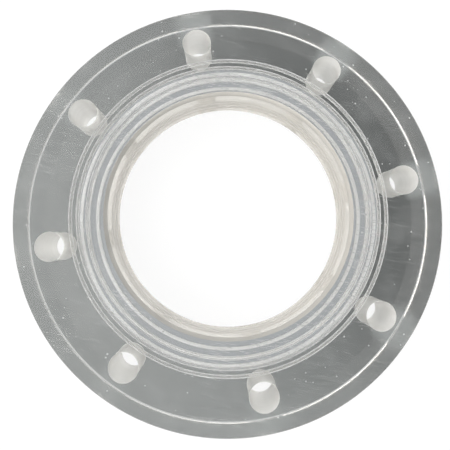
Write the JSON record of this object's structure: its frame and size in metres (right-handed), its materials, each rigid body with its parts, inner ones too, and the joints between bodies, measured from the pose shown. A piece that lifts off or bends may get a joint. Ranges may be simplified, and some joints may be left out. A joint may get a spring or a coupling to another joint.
{
  "type": "full-face sight glass ring",
  "caption": "Thick clear acrylic sight glass ring with a plain bore, a circle of bolt holes and concentric seal rings let into both faces.",
  "frame": {"origin": "centre of the rear face, on the axis of the bore", "axes": "+Z along the bore axis from the rear face to the front face, +X on a centre line midway between two bolt holes"},
  "size_m": [0.268, 0.268, 0.03],
  "materials": {
    "clear_acrylic": "clear, polished faces and rim, frosted drilled holes",
    "seal_silicone": "translucent milky silicone, satin"
  },
  "bodies": {
    "root": {"clear_plate": "clear_acrylic", "front_seal_outer": "seal_silicone", "front_seal_middle": "seal_silicone", "front_seal_inner": "seal_silicone", "rear_seal_outer": "seal_silicone", "rear_seal_middle": "seal_silicone", "rear_seal_inner": "seal_silicone"}
  },
  "joints": []
}
